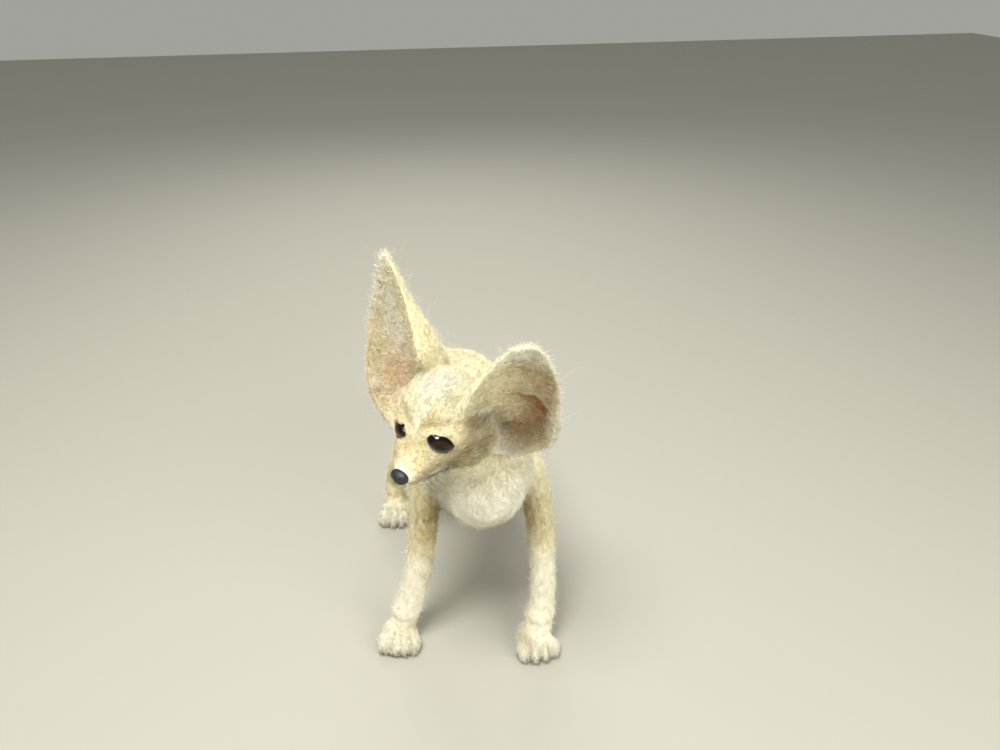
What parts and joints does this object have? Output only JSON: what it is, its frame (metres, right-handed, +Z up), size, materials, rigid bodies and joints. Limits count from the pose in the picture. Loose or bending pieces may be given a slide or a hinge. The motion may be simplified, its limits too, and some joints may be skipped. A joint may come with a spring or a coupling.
{
  "type": "needle-felted fennec fox figure",
  "caption": "Life-size needle-felted wool figure of a fennec fox, standing on its feet with its head turned to its right.",
  "frame": {"origin": "middle of the figure's box, on the floor that the four paws stand on", "axes": "+Z up, -Y the way the trunk faces, +X the fox's left"},
  "size_m": [0.1374, 0.3568, 0.2885],
  "materials": {
    "wool": "needle-felted wool, fuzzy",
    "pale_wool": "white needle-felted wool, fuzzy",
    "dark_wool": "dark brown needle-felted wool, fuzzy",
    "eye_glass": "glossy dark glass",
    "nose_felt": "firm black felt, slightly waxed"
  },
  "bodies": {
    "root": {"chest": "pale_wool", "belly": "wool", "rump": "wool", "neck": "wool", "head": "wool", "muzzle": "wool", "jaw": "pale_wool", "nose": "nose_felt", "tail_base": "wool", "tail_middle": "wool", "tail_tip": "dark_wool", "eye_left": "eye_glass", "ear_left": "wool", "upper_foreleg_left": "wool", "lower_foreleg_left": "wool", "forepaw_left": "pale_wool", "thigh_left": "wool", "shank_left": "wool", "hindpaw_left": "pale_wool", "eye_right": "eye_glass", "ear_right": "wool", "upper_foreleg_right": "wool", "lower_foreleg_right": "wool", "forepaw_right": "pale_wool", "thigh_right": "wool", "shank_right": "wool", "hindpaw_right": "pale_wool"}
  },
  "joints": []
}
